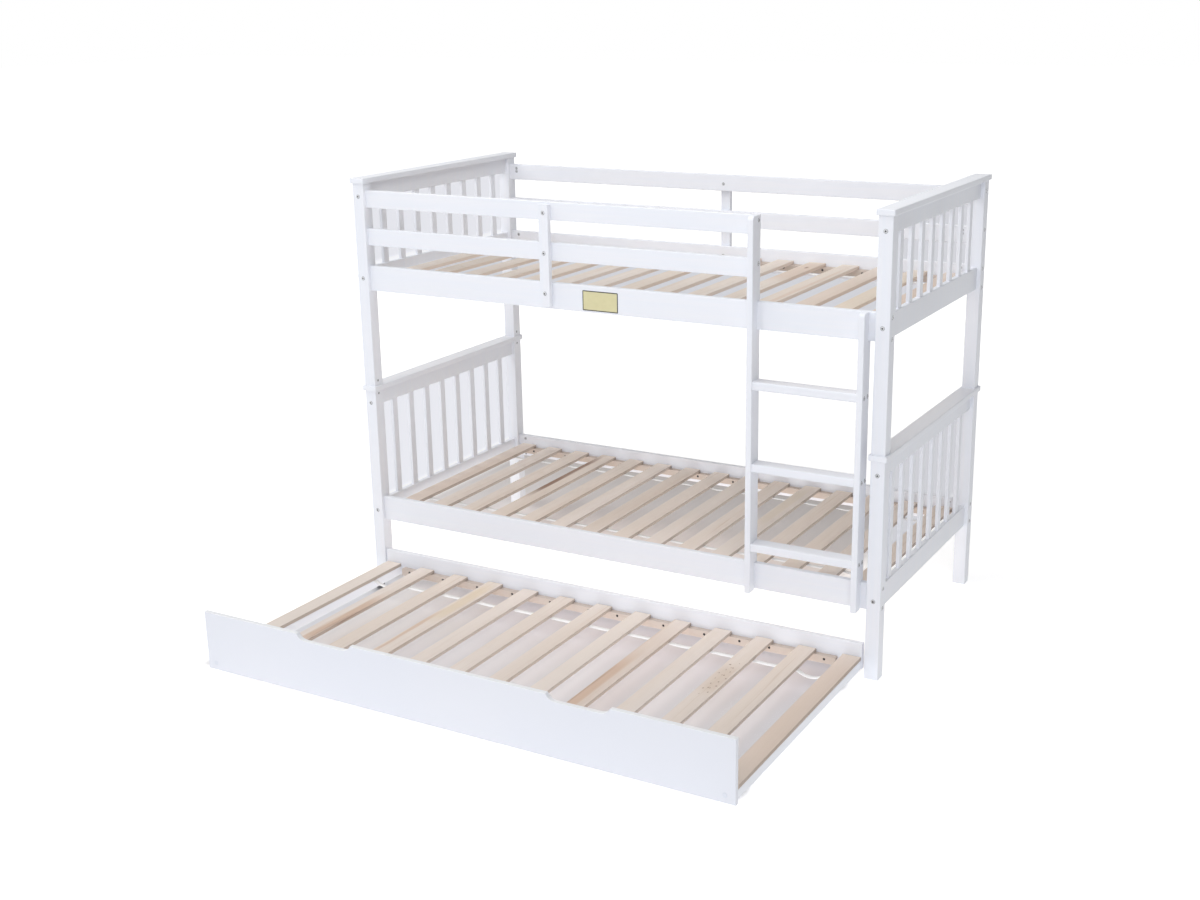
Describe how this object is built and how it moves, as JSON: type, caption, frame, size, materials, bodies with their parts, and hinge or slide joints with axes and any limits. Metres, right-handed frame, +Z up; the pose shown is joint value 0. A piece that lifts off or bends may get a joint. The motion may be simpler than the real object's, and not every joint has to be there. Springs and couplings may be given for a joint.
{
  "type": "bunk bed with trundle",
  "caption": "Single-over-single bunk bed of white painted pine with slatted ends, guard rails, a fixed ladder and a pull-out trundle bed on castors.",
  "frame": {"origin": "on the floor, at the middle of the bounding box of the bed with its trundle pulled out", "axes": "+X along the bed towards the ladder's end, +Y from the trundle's front to the back of the bed, +Z up"},
  "size_m": [2.014, 1.917, 1.499],
  "materials": {
    "painted_wood": "smooth satin white paint on pine",
    "bare_pine": "planed bare pine, with off-white webbing straps under the slats",
    "steel": "zinc-plated steel",
    "wheel_plastic": "matt black plastic"
  },
  "bodies": {
    "bunk_frame": {"lower_post_front_left": "painted_wood", "lower_post_front_right": "painted_wood", "lower_post_rear_left": "painted_wood", "lower_post_rear_right": "painted_wood", "upper_post_front_left": "painted_wood", "upper_post_front_right": "painted_wood", "upper_post_rear_left": "painted_wood", "upper_post_rear_right": "painted_wood", "joining_pin_front_left": "steel", "joining_pin_front_right": "steel", "joining_pin_rear_left": "steel", "joining_pin_rear_right": "steel", "lower_cap_left": "painted_wood", "lower_cap_right": "painted_wood", "upper_cap_left": "painted_wood", "upper_cap_right": "painted_wood", "lower_end_panel_left": "painted_wood", "lower_end_panel_right": "painted_wood", "upper_end_panel_left": "painted_wood", "upper_end_panel_right": "painted_wood", "lower_side_rail_front": "painted_wood", "lower_side_rail_rear": "painted_wood", "upper_side_rail_front": "painted_wood", "upper_side_rail_rear": "painted_wood", "lower_ledger_front": "bare_pine", "lower_ledger_rear": "bare_pine", "upper_ledger_front": "bare_pine", "upper_ledger_rear": "bare_pine", "lower_slat_roll": "bare_pine", "upper_slat_roll": "bare_pine", "front_guard_board_lower": "painted_wood", "front_guard_board_upper": "painted_wood", "front_guard_stile": "painted_wood", "rear_guard_board_lower": "painted_wood", "rear_guard_board_upper": "painted_wood", "rear_guard_stile": "painted_wood", "ladder_stile_left": "painted_wood", "ladder_stile_right": "painted_wood", "ladder_rung_1": "painted_wood", "ladder_rung_2": "painted_wood", "ladder_rung_3": "painted_wood"},
    "trundle": {"trundle_front_panel": "painted_wood", "trundle_rear_panel": "painted_wood", "trundle_end_rail_left": "painted_wood", "trundle_end_rail_right": "painted_wood", "trundle_ledger_front": "bare_pine", "trundle_ledger_rear": "bare_pine", "trundle_slat_roll": "bare_pine", "castor_bracket_front_left": "steel", "castor_bracket_front_right": "steel", "castor_bracket_rear_left": "steel", "castor_bracket_rear_right": "steel"},
    "wheel_front_left": {"castor_wheel_front_left": "wheel_plastic"},
    "wheel_front_right": {"castor_wheel_front_right": "wheel_plastic"},
    "wheel_rear_left": {"castor_wheel_rear_left": "wheel_plastic"},
    "wheel_rear_right": {"castor_wheel_rear_right": "wheel_plastic"}
  },
  "joints": [
    {"name": "trundle_slide", "type": "slide", "parent": "bunk_frame", "child": "trundle", "axis": [0, 1, 0], "range_m": [0, 0.94]},
    {"name": "wheel_front_left_spin", "type": "hinge", "parent": "trundle", "child": "wheel_front_left", "pos_m": [-0.9125, -0.8505, 0.022], "axis": [1, 0, 0], "continuous": true},
    {"name": "wheel_front_right_spin", "type": "hinge", "parent": "trundle", "child": "wheel_front_right", "pos_m": [0.9125, -0.8505, 0.022], "axis": [1, 0, 0], "continuous": true},
    {"name": "wheel_rear_left_spin", "type": "hinge", "parent": "trundle", "child": "wheel_rear_left", "pos_m": [-0.9125, -0.1105, 0.022], "axis": [1, 0, 0], "continuous": true},
    {"name": "wheel_rear_right_spin", "type": "hinge", "parent": "trundle", "child": "wheel_rear_right", "pos_m": [0.9125, -0.1105, 0.022], "axis": [1, 0, 0], "continuous": true}
  ],
  "couplings": [
    {"joint": "wheel_front_left_spin", "follows": "trundle_slide", "rad_per_m": -45.455},
    {"joint": "wheel_front_right_spin", "follows": "trundle_slide", "rad_per_m": -45.455},
    {"joint": "wheel_rear_left_spin", "follows": "trundle_slide", "rad_per_m": -45.455},
    {"joint": "wheel_rear_right_spin", "follows": "trundle_slide", "rad_per_m": -45.455}
  ]
}
